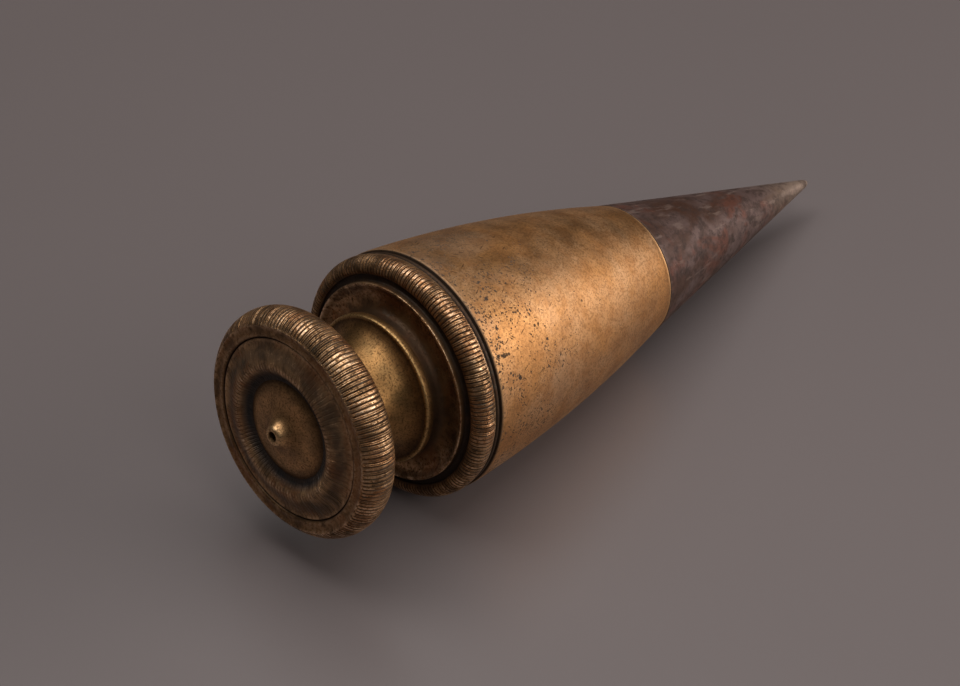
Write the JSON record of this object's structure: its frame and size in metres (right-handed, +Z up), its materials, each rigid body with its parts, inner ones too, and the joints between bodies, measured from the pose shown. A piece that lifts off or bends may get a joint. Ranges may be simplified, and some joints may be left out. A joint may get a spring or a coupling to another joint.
{
  "type": "plumb bob",
  "caption": "Turned brass plumb bob with a knurled screw cap, a spool neck under a mushroom knob, a central line hole and a screw-in steel point.",
  "frame": {"origin": "middle of the bounding box's bottom face, on the surface that the bob lies on", "axes": "+X along the bob towards its steel point, +Z up; the bob's own axis lies in the XZ plane and dips 8.523 degrees towards the point, as the bob rests on the curve of its body"},
  "size_m": [0.1604, 0.0498, 0.0527],
  "materials": {
    "body_brass": "aged, satin, specked with small dark pits",
    "head_brass": "dark patina, bright on worn edges and knurl crests",
    "neck_brass": "satin, fine turning marks",
    "inner_brass": "plain turned",
    "point_steel": "rusted brown, rubbed lighter in patches",
    "washer_leather": "dark, pressed"
  },
  "bodies": {
    "bob_body": {"body": "body_brass"},
    "washer": {"seat_washer": "washer_leather"},
    "head": {"cap": "head_brass", "neck": "neck_brass", "knob": "head_brass", "face_ring": "head_brass", "line_spindle": "neck_brass", "nut_washer": "inner_brass", "spindle_nut": "inner_brass"},
    "point": {"steel_point": "point_steel"}
  },
  "joints": [
    {"name": "cap_slide", "type": "slide", "parent": "bob_body", "child": "washer", "axis": [-0.989, 0, 0.1482], "range_m": [0, 0.009]},
    {"name": "cap_turn", "type": "hinge", "parent": "washer", "child": "head", "pos_m": [-0.04478, 0, 0.02567], "axis": [-0.989, 0, 0.1482], "range_deg": [0, 2150]},
    {"name": "point_slide", "type": "slide", "parent": "bob_body", "child": "point", "axis": [0.989, 0, -0.1482], "range_m": [0, 0.012]}
  ],
  "couplings": [
    {"joint": "cap_slide", "follows": "cap_turn", "m_per_rad": 0.00023873}
  ]
}
